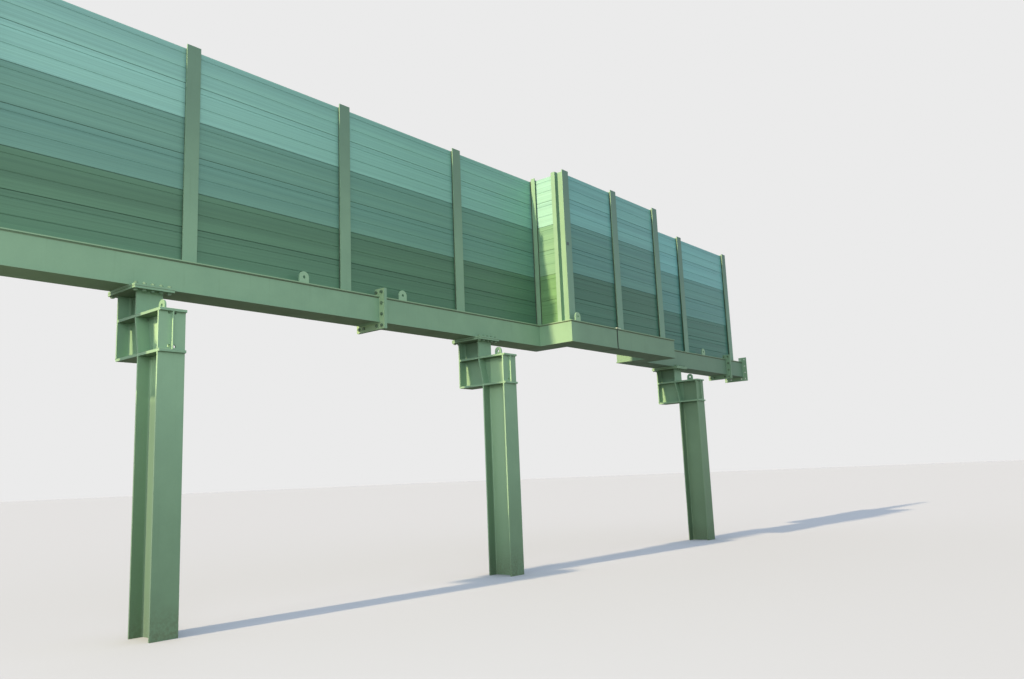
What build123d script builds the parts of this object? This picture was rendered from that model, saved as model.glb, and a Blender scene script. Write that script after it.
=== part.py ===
from build123d import *
import os

# Noise barrier section: three columns with rear brackets carry a box girder,
# posts stand on the girder and hold stacked cassettes, and the whole line
# steps forward around a recess between the middle and the right column.
# X runs along the barrier, Y points away from the road, Z is up, in mm.
# The origin is the centre of the middle column's foot.

# Overall layout
bay = 2300
short_bay = 2070
jog_bay = 1550
jog_depth = 690
left_column_x = -5515
right_column_x = 6320
post_before_column = 390
end_past_post = 320
girder_top = 4050
splice_before_column = 2180
joint_past_corner = 1210
splice_past_column = 2480

# Box girder
girder_width = 450
girder_height = 375
girder_plate = 15
girder_web = 12
girder_lip = 15

# Girder end plates
end_plate_thickness = 25
end_plate_front = 95
end_plate_rear = 50
end_plate_above = 105
end_plate_below = 100
end_plate_edge = 52
end_plate_inset = 107
end_plate_notch = 211
end_plate_rows = 4
end_bolt_hole_radius = 13

# Columns and stubs, both the same rolled section
column_width = 300
column_depth = 440
column_flange = 21
column_web = 11.5
column_root = 27
bracket_gap = 60

# Column head
head_plate = 30
head_top_drop = 694
head_height = 466
head_overhang = 30
rib_thickness = 14
slant_snipe = 30
plate_edge_break = 3
rib_edge_break = 2
root_clearance = 3
vent_radius = 18
vent_from_rib = 30
vent_below_top_plate = 12
vent_above_strip = 34
bearing_plate = 25
bearing_width = 460
bearing_front = 110
bearing_rear = 65
bearing_corner = 8

# Lifting lugs
lug_thickness = 20
lug_width = 150
lug_height = 155
lug_hole_radius = 20
head_lug_width = 130
head_lug_height = 135
head_lug_setback = 215
girder_lug_setback = 35
lug_past_left_column = 2059
lug_before_middle_column = 1726
lug_past_corner = 20
lug_past_right_column = 1354

# Posts
post_width = 180
post_depth = 180
post_flange = 14
post_web = 8.5
post_root = 15
post_height = 2740

# Corner channels that hold the return panels
channel_web = 8
channel_flange = 11
channel_reach = 70
channel_root = 11

# Cassettes
cassette_pitch = 450
cassette_gap = 0.5
cassette_play = 27
seat_gap = 0.3
end_clearance = 20
return_clearance = 15
rows_per_band = 2
bead_one = 0.17
bead_two = 0.58
bead_mouth = 14
bead_depth = 5
lip_height = 6
lip_depth = 6
tongue_width = 40
tongue_height = 12
tongue_taper = 3
tongue_clearance = 2

# Rubber seals between the cassettes and the posts' front flanges
seal_base = 24
seal_foot = 7
seal_neck = 10
seal_head = 18
seal_from_edge = 6

# Derived positions
bracket_reach = column_depth + bracket_gap
girder_bottom = girder_top - girder_height
main_y = bracket_reach
jog_y = bracket_reach - jog_depth
stub_top = girder_bottom - 2 * bearing_plate
head_top = girder_top - head_top_drop
head_bottom = head_top - head_height
column_top = head_top - head_plate
collar_top = head_bottom + head_plate
column_xs = [left_column_x, 0, right_column_x]
post_c = -post_before_column
corner_left_x = post_c + short_bay
corner_right_x = corner_left_x + 2 * jog_bay
first_splice_x = -splice_before_column
jog_joint_x = corner_left_x + joint_past_corner
second_splice_x = right_column_x + splice_past_column
left_post_xs = [post_c - 3 * bay, post_c - 2 * bay, post_c - bay, post_c, corner_left_x]
jog_post_xs = [corner_left_x, corner_left_x + jog_bay, corner_right_x]
right_post_xs = [corner_right_x, corner_right_x + bay, corner_right_x + 2 * bay]
left_end_x = left_post_xs[0] - end_past_post
right_end_x = right_post_xs[-1] + end_past_post
column_half = column_depth / 2
web_end = column_half - column_flange - column_root
post_half = post_depth / 2
girder_half = girder_width / 2
cassette_thickness = post_depth - 2 * post_flange - cassette_play
wall_height = 3 * rows_per_band * cassette_pitch

made = []


def keep(builder, label):
    builder.part.label = label
    made.append(builder.part)


def draw_section(sketch, width, depth, flange, web, root):
    # An H outline with rounded roots, flanges across the local X direction
    Rectangle(width, depth)
    hollow = (width - web) / 2
    with Locations((web / 2 + hollow / 2, 0), (-web / 2 - hollow / 2, 0)):
        Rectangle(hollow, depth - 2 * flange, mode=Mode.SUBTRACT)
    roots = sketch.vertices().filter_by(lambda v: abs(abs(v.X) - web / 2) < 0.01)
    fillet(roots, root)


# Columns up to the head's top plate, without their rear flange inside the head
head_inside = column_top - collar_top
head_mid_z = (column_top + collar_top) / 2
flange_and_root = column_half - web_end
with BuildPart() as column:
    with BuildSketch(Plane.XY) as column_outline:
        draw_section(column_outline, column_width, column_depth, column_flange, column_web, column_root)
    extrude(amount=column_top)
    with Locations((0, web_end + flange_and_root / 2, head_mid_z)):
        Box(column_width, flange_and_root, head_inside, mode=Mode.SUBTRACT)
    with BuildSketch(Plane.XZ.offset(column_half)) as vents:
        vent_xs = [vent_from_rib, -vent_from_rib]
        vent_zs = [column_top - vent_below_top_plate, collar_top + vent_above_strip]
        with Locations(*[(x, z) for x in vent_xs for z in vent_zs]):
            Circle(vent_radius)
    extrude(amount=-column_flange - 1, mode=Mode.SUBTRACT)

with BuildPart() as columns:
    with Locations(*[(x, 0) for x in column_xs]):
        add(column.part)
keep(columns, "columns")

# Stubs behind the columns, up to the cap plate, without their front flange inside the head
with BuildPart() as stub:
    with BuildSketch(Plane.XY.offset(collar_top)) as stub_outline:
        with Locations((0, bracket_reach)):
            draw_section(stub_outline, column_width, column_depth, column_flange, column_web, column_root)
    extrude(amount=stub_top - collar_top)
    with Locations((0, bracket_reach - web_end - flange_and_root / 2, head_mid_z)):
        Box(column_width, flange_and_root, head_inside, mode=Mode.SUBTRACT)

with BuildPart() as stubs:
    with Locations(*[(x, 0) for x in column_xs]):
        add(stub.part)
keep(stubs, "stubs")

# Bracket webs between the column's web and the stub's web
with BuildPart() as bracket_webs:
    with Locations(*[(x, bracket_reach / 2, head_mid_z) for x in column_xs]):
        Box(column_web, bracket_reach - 2 * web_end, head_inside)
keep(bracket_webs, "bracket_webs")

# Slanted plates from the column's rear flange up to the stub's front flange, on both sides of the web
slant_foot = column_half - column_flange
slant_head = bracket_reach - column_half
slant_outline = [
    (slant_foot, collar_top),
    (slant_foot + column_flange, collar_top),
    (slant_head + column_flange, column_top),
    (slant_head, column_top),
]
slant_width = (column_width - column_web) / 2
with BuildPart() as slant_plates:
    for x in column_xs:
        for start_x in (x - column_width / 2, x + column_web / 2):
            with BuildSketch(Plane(origin=(start_x, 0, 0), x_dir=(0, 1, 0), z_dir=(1, 0, 0))):
                Polygon(*slant_outline, align=None)
            extrude(amount=slant_width)
    web_faces = [x + side * column_web / 2 for x in column_xs for side in (1, -1)]
    level_edges = slant_plates.edges().filter_by(Axis.Y)
    snipe_edges = [e for e in level_edges if min(abs(e.center().X - face_x) for face_x in web_faces) < 1]
    chamfer(snipe_edges, slant_snipe)
keep(slant_plates, "head_slanted_plates")

# Top plates over the column, up to the stub's front flange
top_plate_front = -column_half - head_overhang
top_plate_rear = bracket_reach - column_half
with BuildPart() as top_plates:
    with BuildSketch(Plane.XY.offset(column_top)):
        with Locations(*[(x, (top_plate_front + top_plate_rear) / 2) for x in column_xs]):
            Rectangle(column_width, top_plate_rear - top_plate_front)
    extrude(amount=head_plate)
    chamfer(top_plates.edges().filter_by(Axis.X).group_by(Axis.Y)[0], plate_edge_break)
keep(top_plates, "head_top_plates")

# Bottom plates under the bracket, behind the column
with BuildPart() as bottom_plates:
    with BuildSketch(Plane.XY.offset(head_bottom)):
        plate_length = bracket_gap + column_depth
        with Locations(*[(x, column_half + plate_length / 2) for x in column_xs]):
            Rectangle(column_width, plate_length)
    extrude(amount=head_plate)
    chamfer(bottom_plates.edges().filter_by(Axis.X).group_by(Axis.Y)[-1], plate_edge_break)
keep(bottom_plates, "head_bottom_plates")

# Collar strips that carry the bottom plate's line across the front flange
with BuildPart() as collar_strips:
    with BuildSketch(Plane.XY.offset(head_bottom)):
        with Locations(*[(x, -column_half - head_overhang / 2) for x in column_xs]):
            Rectangle(column_width, head_overhang)
    extrude(amount=head_plate)
    chamfer(collar_strips.edges().filter_by(Axis.X).group_by(Axis.Y)[0], plate_edge_break)
keep(collar_strips, "head_front_strips")

# Stiffeners between the flanges: one pair in the column, one pair in the stub
stiffener_width = (column_width - column_web) / 2
stiffener_length = column_depth - 2 * column_flange
stiffener_x = column_web / 2 + stiffener_width / 2


def draw_stiffener(sketch, centre_x, centre_y, web_side):
    # A plate whose two corners at the web are cut clear of the rolled roots
    with Locations((centre_x, centre_y)):
        Rectangle(stiffener_width, stiffener_length)
    edge_x = centre_x + web_side * stiffener_width / 2
    near = sketch.vertices().filter_by(lambda v: abs(v.X - edge_x) < 0.01)
    chamfer(near, column_root + root_clearance)


with BuildPart() as column_stiffeners:
    for x in column_xs:
        for side in (1, -1):
            with BuildSketch(Plane.XY.offset(head_bottom)) as stiffener_outline:
                draw_stiffener(stiffener_outline, x + side * stiffener_x, 0, -side)
            extrude(amount=head_plate)
keep(column_stiffeners, "column_stiffeners")

with BuildPart() as stub_stiffeners:
    for x in column_xs:
        for side in (1, -1):
            with BuildSketch(Plane.XY.offset(column_top)) as stiffener_outline:
                draw_stiffener(stiffener_outline, x + side * stiffener_x, bracket_reach, -side)
            extrude(amount=head_plate)
keep(stub_stiffeners, "stub_stiffeners")

# Upright rib on the front flange, between the collar strip and the top plate
with BuildPart() as front_ribs:
    with Locations(*[(x, -column_half - head_overhang / 2, head_mid_z) for x in column_xs]):
        Box(rib_thickness, head_overhang, head_inside)
    chamfer(front_ribs.edges().filter_by(Axis.Z).group_by(Axis.Y)[0], rib_edge_break)
keep(front_ribs, "front_ribs")

# Cap plate on the stub and bearing plate under the girder
bearing_length = girder_width + bearing_front + bearing_rear
bearing_y = main_y + (bearing_rear - bearing_front) / 2
with BuildPart() as cap_plates:
    with BuildSketch(Plane.XY.offset(stub_top)):
        with Locations(*[(x, bearing_y) for x in column_xs]):
            Rectangle(bearing_width, bearing_length)
    extrude(amount=bearing_plate)
    chamfer(cap_plates.edges().filter_by(Axis.Z), bearing_corner)
keep(cap_plates, "stub_cap_plates")

with BuildPart() as bearing_plates:
    with BuildSketch(Plane.XY.offset(stub_top + bearing_plate)):
        with Locations(*[(x, bearing_y) for x in column_xs]):
            Rectangle(bearing_width, bearing_length)
    extrude(amount=bearing_plate)
    chamfer(bearing_plates.edges().filter_by(Axis.Z), bearing_corner)
keep(bearing_plates, "girder_bearing_plates")


# Lifting lugs: an upright plate with a round head and one hole
def draw_lug(width, height, hole_radius):
    shoulder = height - width / 2
    with Locations((0, shoulder / 2)):
        Rectangle(width, shoulder)
    with Locations((0, shoulder)):
        Circle(width / 2)
        Circle(hole_radius, mode=Mode.SUBTRACT)


lug_half = lug_thickness / 2
with BuildPart() as head_lugs:
    for x in column_xs:
        lug_foot = (x - lug_half, -column_half + head_lug_setback, head_top)
        lug_plane = Plane(origin=lug_foot, x_dir=(0, 1, 0), z_dir=(1, 0, 0))
        with BuildSketch(lug_plane):
            draw_lug(head_lug_width, head_lug_height, lug_hole_radius)
        extrude(amount=lug_thickness)
keep(head_lugs, "head_lugs")

lug_spots = [
    (left_column_x + lug_past_left_column, main_y),
    (-lug_before_middle_column, main_y),
    (corner_left_x + lug_past_corner, jog_y),
    (right_column_x + lug_past_right_column, main_y),
]
with BuildPart() as girder_lugs:
    for x, line_y in lug_spots:
        lug_plane = Plane(
            origin=(x, line_y - girder_half + girder_lug_setback + lug_thickness, girder_top),
            x_dir=(1, 0, 0),
            z_dir=(0, -1, 0),
        )
        with BuildSketch(lug_plane):
            draw_lug(lug_width, lug_height, lug_hole_radius)
        extrude(amount=lug_thickness)
keep(girder_lugs, "girder_lugs")


# Box girder: one hollow profile swept along the line, mitred at the corners
def draw_girder_profile():
    Rectangle(girder_width, girder_height)
    web_height = girder_height - 2 * girder_plate
    recess_x = girder_half - girder_lip / 2
    with Locations((recess_x, 0), (-recess_x, 0)):
        Rectangle(girder_lip, web_height, mode=Mode.SUBTRACT)
    hollow_width = girder_width - 2 * girder_lip - 2 * girder_web
    Rectangle(hollow_width, web_height, mode=Mode.SUBTRACT)


girder_mid_z = girder_top - girder_height / 2
plate_t = end_plate_thickness
girder_lines = {
    "girder_left": [(left_end_x + plate_t, main_y), (first_splice_x - plate_t, main_y)],
    "corner_girder_left": [
        (first_splice_x + plate_t, main_y),
        (corner_left_x, main_y),
        (corner_left_x, jog_y),
        (jog_joint_x, jog_y),
    ],
    "corner_girder_right": [
        (second_splice_x - plate_t, main_y),
        (corner_right_x, main_y),
        (corner_right_x, jog_y),
        (jog_joint_x, jog_y),
    ],
    "girder_right": [(second_splice_x + plate_t, main_y), (right_end_x - plate_t, main_y)],
}
for label, points in girder_lines.items():
    first_x, first_y = points[0]
    heading = 1 if points[1][0] > first_x else -1
    girder_start = Plane(origin=(first_x, first_y, girder_mid_z), x_dir=(0, 1, 0), z_dir=(heading, 0, 0))
    with BuildPart() as girder:
        with BuildLine() as girder_line:
            Polyline(*[(x, y, girder_mid_z) for x, y in points])
        with BuildSketch(girder_start):
            draw_girder_profile()
        sweep(path=girder_line.wires()[0], transition=Transition.RIGHT)
    keep(girder, label)

# End plates, notched where the wall passes over them
end_plate_width = girder_width + end_plate_front + end_plate_rear
end_plate_height = girder_height + end_plate_above + end_plate_below
end_plate_y = (end_plate_rear - end_plate_front) / 2
end_plate_z = (end_plate_above - end_plate_below) / 2
hole_half_y = end_plate_width / 2 - end_plate_edge
hole_half_z = end_plate_height / 2 - end_plate_edge
hole_step_z = 2 * hole_half_z / (end_plate_rows - 1)
inner_hole_y = hole_half_y - end_plate_inset
side_holes = []
for side in (1, -1):
    for row in range(end_plate_rows):
        row_z = end_plate_z - hole_half_z + row * hole_step_z
        side_holes.append((end_plate_y + side * hole_half_y, row_z))
inner_holes = []
for side in (1, -1):
    for level in (1, -1):
        inner_holes.append((end_plate_y + side * inner_hole_y, end_plate_z + level * hole_half_z))


def draw_end_plate(drilled):
    # The plates at both ends of the section are drilled, the ones bolted up in between are drawn closed
    with Locations((end_plate_y, end_plate_z)):
        Rectangle(end_plate_width, end_plate_height)
    with Locations((end_plate_y, (girder_height + end_plate_above) / 2)):
        Rectangle(end_plate_notch, end_plate_above, mode=Mode.SUBTRACT)
    if drilled:
        with Locations(*side_holes, *inner_holes):
            Circle(end_bolt_hole_radius, mode=Mode.SUBTRACT)


end_plates = {
    "girder_left_end_plates": [left_end_x, first_splice_x - plate_t],
    "corner_girder_left_end_plate": [first_splice_x],
    "corner_girder_right_end_plate": [second_splice_x - plate_t],
    "girder_right_end_plates": [second_splice_x, right_end_x - plate_t],
}
outer_starts = [left_end_x, right_end_x - plate_t]
for label, starts in end_plates.items():
    with BuildPart() as plates:
        for start_x in starts:
            plate_plane = Plane(origin=(start_x, main_y, girder_mid_z), x_dir=(0, 1, 0), z_dir=(1, 0, 0))
            with BuildSketch(plate_plane):
                draw_end_plate(start_x in outer_starts)
            extrude(amount=end_plate_thickness)
    keep(plates, label)

# Posts
with BuildPart() as post:
    with BuildSketch(Plane.XY.offset(girder_top)) as post_outline:
        draw_section(post_outline, post_width, post_depth, post_flange, post_web, post_root)
    extrude(amount=post_height)

with BuildPart() as left_posts:
    with Locations(*[(x, main_y) for x in left_post_xs]):
        add(post.part)
keep(left_posts, "left_run_posts")

with BuildPart() as jog_posts:
    with Locations(*[(x, jog_y) for x in jog_post_xs]):
        add(post.part)
keep(jog_posts, "jog_posts")

with BuildPart() as right_posts:
    with Locations(*[(x, main_y) for x in right_post_xs]):
        add(post.part)
keep(right_posts, "right_run_posts")


# Corner channels, open towards the return panel between them
def draw_channel(sketch, centre_x, wall_y, away):
    # The web lies against a post flange at wall_y and the flanges point away from it
    with Locations((centre_x, wall_y + away * channel_reach / 2)):
        Rectangle(post_width, channel_reach)
    with Locations((centre_x, wall_y + away * (channel_web + channel_reach) / 2)):
        Rectangle(post_width - 2 * channel_flange, channel_reach - channel_web, mode=Mode.SUBTRACT)
    floor_y = wall_y + away * channel_web
    inner_x = post_width / 2 - channel_flange
    roots = sketch.vertices().filter_by(
        lambda v: abs(v.Y - floor_y) < 0.01 and abs(abs(v.X - centre_x) - inner_x) < 0.01
    )
    fillet(roots, channel_root)


rear_wall_y = main_y - post_half
front_wall_y = jog_y + post_half
with BuildPart() as corner_channels:
    for x in (corner_left_x, corner_right_x):
        for wall_y, away in ((rear_wall_y, -1), (front_wall_y, 1)):
            with BuildSketch(Plane.XY.offset(girder_top)) as channel_outline:
                draw_channel(channel_outline, x, wall_y, away)
            extrude(amount=post_height)
keep(corner_channels, "corner_channels")


# Cassettes: the road face has two beads, both faces have a lip at the joints
def cassette_outline():
    half = cassette_thickness / 2
    height = cassette_pitch - cassette_gap
    tongue = tongue_width / 2
    slot = tongue + tongue_clearance
    slot_depth = tongue_height + tongue_clearance
    lip_foot = [(slot - tongue_taper, slot_depth), (slot, 0), (half - lip_depth, 0), (half, lip_height)]
    lip_head = [(half, height - lip_height), (half - lip_depth, height)]
    tongue_side = [(tongue, height), (tongue - tongue_taper, height + tongue_height)]
    beads = []
    for share in (bead_two, bead_one):
        level = height * (1 - share)
        beads.append((half, level - bead_mouth / 2))
        beads.append((half - bead_depth, level))
        beads.append((half, level + bead_mouth / 2))
    rear = lip_foot + lip_head + tongue_side
    front = [(-x, z) for x, z in lip_foot + beads + lip_head + tongue_side]
    return rear + front[::-1]


outline_points = cassette_outline()
panel_shift = post_depth / 2 - post_flange - seat_gap - cassette_thickness / 2
run_trim = post_web / 2 + end_clearance
return_shift = post_width / 2 - channel_flange - seat_gap - cassette_thickness / 2
return_length = rear_wall_y - front_wall_y - 2 * (channel_web + return_clearance)


def run_places(post_xs, line_y):
    # Start plane origin, local X direction, run direction and length of each bay's cassettes
    places = []
    for start, stop in zip(post_xs, post_xs[1:]):
        origin = (start + run_trim, line_y + panel_shift)
        places.append((origin, (0, 1, 0), (1, 0, 0), stop - start - 2 * run_trim))
    return places


def return_places(centre_x, inward):
    # The rear of a return panel looks inward, over the recess
    start_y = (rear_wall_y + front_wall_y) / 2 + inward * return_length / 2
    origin = (centre_x + inward * return_shift, start_y)
    return [(origin, (inward, 0, 0), (0, -inward, 0), return_length)]


stretches = {
    "left_run": run_places(left_post_xs, main_y),
    "left_return": return_places(corner_left_x, 1),
    "jog": run_places(jog_post_xs, jog_y),
    "right_return": return_places(corner_right_x, -1),
    "right_run": run_places(right_post_xs, main_y),
}
shades = {"dark": 0, "mid": rows_per_band, "light": 2 * rows_per_band}
for stretch, places in stretches.items():
    for shade, first_row in shades.items():
        with BuildPart() as cassettes:
            for origin, across, along, length in places:
                for row in range(first_row, first_row + rows_per_band):
                    base = (origin[0], origin[1], girder_top + seat_gap + row * cassette_pitch)
                    with BuildSketch(Plane(origin=base, x_dir=across, z_dir=along)):
                        Polygon(*outline_points, align=None)
                    extrude(amount=length)
        keep(cassettes, f"{stretch}_{shade}_cassettes")


# Seals: a rubber strip at each cassette end, pressed between its road face and the steel in front
def draw_seal(depth):
    # Local Y runs from the steel at zero to the cassette
    base, neck, head = seal_base / 2, seal_neck / 2, seal_head / 2
    shoulder = depth - seal_foot
    right = [(base, 0), (base, seal_foot / 2), (neck, seal_foot), (neck, shoulder), (head, depth)]
    Polygon(*right, *[(-x, y) for x, y in reversed(right)], align=None)


post_seal_depth = panel_shift - cassette_thickness / 2 + post_half - post_flange
channel_seal_depth = return_shift - cassette_thickness / 2 + post_width / 2 - channel_flange
seal_inset = seal_from_edge + seal_base / 2
post_seal_x = post_width / 2 - seal_inset
seal_spots = []
for post_xs, line_y in ((left_post_xs, main_y), (jog_post_xs, jog_y), (right_post_xs, main_y)):
    for start, stop in zip(post_xs, post_xs[1:]):
        for seal_x in (start + post_seal_x, stop - post_seal_x):
            seal_spots.append(((seal_x, line_y - post_half + post_flange), (1, 0, 0), post_seal_depth))
for corner_x, inward in ((corner_left_x, 1), (corner_right_x, -1)):
    steel_x = corner_x - inward * (post_width / 2 - channel_flange)
    for seal_y in (rear_wall_y - channel_reach + seal_inset, front_wall_y + channel_reach - seal_inset):
        seal_spots.append(((steel_x, seal_y), (0, -inward, 0), channel_seal_depth))
with BuildPart() as panel_seals:
    for (seal_x, seal_y), across, depth in seal_spots:
        with BuildSketch(Plane(origin=(seal_x, seal_y, girder_top), x_dir=across, z_dir=(0, 0, 1))):
            draw_seal(depth)
        extrude(amount=wall_height)
keep(panel_seals, "panel_seals")

os.makedirs("parts", exist_ok=True)
for piece in made:
    export_step(piece, f"parts/{piece.label}.step")
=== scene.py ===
import math

import bpy
from mathutils import Matrix, Vector


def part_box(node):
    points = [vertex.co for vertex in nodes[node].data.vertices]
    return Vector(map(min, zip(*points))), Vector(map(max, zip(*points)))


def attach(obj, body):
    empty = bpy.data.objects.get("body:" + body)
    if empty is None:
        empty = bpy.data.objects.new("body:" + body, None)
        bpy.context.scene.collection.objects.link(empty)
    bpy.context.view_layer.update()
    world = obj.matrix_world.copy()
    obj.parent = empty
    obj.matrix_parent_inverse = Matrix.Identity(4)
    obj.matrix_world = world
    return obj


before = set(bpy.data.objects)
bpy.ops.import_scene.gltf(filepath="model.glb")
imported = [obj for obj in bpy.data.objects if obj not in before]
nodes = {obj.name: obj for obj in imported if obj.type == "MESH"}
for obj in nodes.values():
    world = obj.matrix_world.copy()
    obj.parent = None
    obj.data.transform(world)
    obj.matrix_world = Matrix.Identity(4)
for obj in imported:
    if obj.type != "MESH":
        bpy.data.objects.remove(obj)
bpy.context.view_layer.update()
keysPerMetre = 20000  # Corners nearer than 0.05 mm count as one


# The solids of a node, as boxes from left to right
def solidBoxes(nodeName):
    mesh = nodes[nodeName].data
    spots = {}
    parent = []

    def root(index):
        while parent[index] != index:
            index = parent[index]
        return index

    owner = []
    for vertex in mesh.vertices:
        key = tuple(round(c * keysPerMetre) for c in vertex.co)
        if key not in spots:
            spots[key] = len(parent)
            parent.append(len(parent))
        owner.append(spots[key])
    for face in mesh.polygons:
        ids = [root(owner[v]) for v in face.vertices]
        for other in ids[1:]:
            parent[root(other)] = root(ids[0])
    groups = {}
    for vertex in mesh.vertices:
        groups.setdefault(root(owner[vertex.index]), []).append(vertex.co)
    found = []
    for points in groups.values():
        low = Vector([min(p[axis] for p in points) for axis in range(3)])
        high = Vector([max(p[axis] for p in points) for axis in range(3)])
        found.append((low, high))
    return sorted(found, key=lambda pair: pair[0].x)


def middle(pair):
    return (pair[0] + pair[1]) / 2


def centresX(boxes):
    return [middle(pair).x for pair in boxes]


columnBoxes = solidBoxes("columns")
stubBoxes = solidBoxes("stubs")
bearingBoxes = solidBoxes("girder_bearing_plates")
capBoxes = solidBoxes("stub_cap_plates")
topPlateBoxes = solidBoxes("head_top_plates")
bottomPlateBoxes = solidBoxes("head_bottom_plates")
stripBoxes = solidBoxes("head_front_strips")
ribBoxes = solidBoxes("front_ribs")
lugBoxes = solidBoxes("girder_lugs") + solidBoxes("head_lugs")
channelBoxes = solidBoxes("corner_channels")
leftPostBoxes = solidBoxes("left_run_posts")
jogPostBoxes = solidBoxes("jog_posts")
rightPostBoxes = solidBoxes("right_run_posts")

girderLow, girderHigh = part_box("girder_left")
girderTop, girderFoot = girderHigh.z, girderLow.z
mainFront, mainRear = girderLow.y, girderHigh.y
girderWidth = mainRear - mainFront
cornerLow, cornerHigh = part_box("corner_girder_left")
jogFront = cornerLow.y
jogRear = jogFront + girderWidth
jogJointX = cornerHigh.x
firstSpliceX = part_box("corner_girder_left_end_plate")[0].x
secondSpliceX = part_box("corner_girder_right_end_plate")[1].x
leftPosts, jogPosts, rightPosts = centresX(leftPostBoxes), centresX(jogPostBoxes), centresX(rightPostBoxes)
cornerLeftX, cornerRightX = jogPosts[0], jogPosts[-1]
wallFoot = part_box("left_run_dark_cassettes")[0].z
print("frame read", len(nodes), "nodes")


# Finishes
faceLeft, faceRight = (-1, 0, 0), (1, 0, 0)
faceFront, faceBack = (0, -1, 0), (0, 1, 0)
faceDown, faceUp = (0, 0, -1), (0, 0, 1)

# How far a face turns towards a direction, as a cosine, before it counts and where it counts in full
faceSpans = {"squarely": (0.5, 0.9), "level": (0.5, 0.95), "roughly": (0.3, 0.8)}


def tone(red, green, blue):
    # A colour written as 0 to 255 on screen
    def level(value):
        value = value / 255
        return value / 12.92 if value <= 0.04045 else ((value + 0.055) / 1.055) ** 2.4

    return (level(red), level(green), level(blue), 1.0)


class Flow:
    # One shader value, on which sums add Math nodes
    def __init__(self, finish, socket):
        self.finish = finish
        self.socket = socket

    def math(self, operation, *values):
        return self.finish.node("Math", {"operation": operation}, dict(enumerate(values)))

    def __add__(self, other):
        return self.math("ADD", self, other)

    def __sub__(self, other):
        return self.math("SUBTRACT", self, other)

    def __rsub__(self, other):
        return self.math("SUBTRACT", other, self)

    def __mul__(self, other):
        return self.math("MULTIPLY", self, other)

    def __truediv__(self, other):
        return self.math("DIVIDE", self, other)

    __radd__ = __add__
    __rmul__ = __mul__

    def size(self):
        return self.math("ABSOLUTE", self)

    def fraction(self):
        return self.math("FRACT", self)

    def whole(self):
        return self.math("FLOOR", self)

    def least(self, other):
        return self.math("MINIMUM", self, other)

    def most(self, other):
        return self.math("MAXIMUM", self, other)

    def ease(self, low, high):
        # 0 at low and 1 at high, soft at both ends
        ends = {"Value": self, "From Min": low, "From Max": high}
        return self.finish.node("MapRange", {"interpolation_type": "SMOOTHSTEP"}, ends)

    def near(self, value, reach):
        # 1 where this is within half of reach of a value, 0 past reach
        return 1 - (self - value).size().ease(reach * 0.5, reach)


def twoGrains(first, second):
    # A little more of the first than of the second
    return first * 0.6 + second * 0.4


def uneven(value, grain, reach):
    # A value moved up and down by a grain, by half of reach each way
    return value + (grain - 0.5) * reach


class Finish:
    def __init__(self, name, specular):
        self.material = bpy.data.materials.new(name)
        self.material.use_nodes = True
        self.tree = self.material.node_tree
        self.shader = self.tree.nodes["Principled BSDF"]
        self.shader.inputs["Specular IOR Level"].default_value = specular
        self.place = self.node("TexCoord", out="Object")
        self.x = self.node("SeparateXYZ", None, {0: self.place}, out="X")
        self.y = self.node("SeparateXYZ", None, {0: self.place}, out="Y")
        self.z = self.node("SeparateXYZ", None, {0: self.place}, out="Z")

    def node(self, kind, settings=None, inputs=None, out=0):
        made = self.tree.nodes.new("ShaderNode" + kind)
        for key, value in (settings or {}).items():
            setattr(made, key, value)
        for key, value in (inputs or {}).items():
            if isinstance(value, Flow):
                self.tree.links.new(value.socket, made.inputs[key])
            else:
                made.inputs[key].default_value = value
        return Flow(self, made.outputs[out])

    def grain(self, scale, detail, rough=0.5, stretch=(1, 1, 1)):
        place = self.node("VectorMath", {"operation": "MULTIPLY"}, {0: self.place, 1: stretch})
        inputs = {"Vector": place, "Scale": scale, "Detail": detail, "Roughness": rough}
        return self.node("TexNoise", None, inputs)

    def facing(self, direction):
        # 1 on a face that looks that way, -1 on one that looks the other way
        normal = self.node("NewGeometry", out="Normal")
        ends = {0: normal, 1: direction}
        return self.node("VectorMath", {"operation": "DOT_PRODUCT"}, ends, out="Value")

    def towards(self, direction, span="squarely"):
        return self.facing(direction).ease(*faceSpans[span])

    def upright(self):
        return 1 - self.facing(faceUp).size().ease(*faceSpans["roughly"])

    def tint(self, under, over, amount, blend="MIX"):
        settings = {"data_type": "RGBA", "blend_type": blend}
        return self.node("Mix", settings, {0: amount, 6: under, 7: over}, out=2)

    def shaded(self, colour, factor):
        # The colour times a value, so that 1 leaves it as it is
        grey = self.node("CombineColor", None, {0: factor, 1: factor, 2: factor})
        return self.tint(colour, grey, 1.0, "MULTIPLY")

    def feed(self, socket, flow):
        self.tree.links.new(flow.socket, self.shader.inputs[socket])

    def made(self, colour, roughness, height, depth):
        self.feed("Base Color", colour)
        self.feed("Roughness", roughness)
        self.feed("Normal", self.node("Bump", None, {"Distance": depth, "Height": height}))
        return self.material


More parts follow.
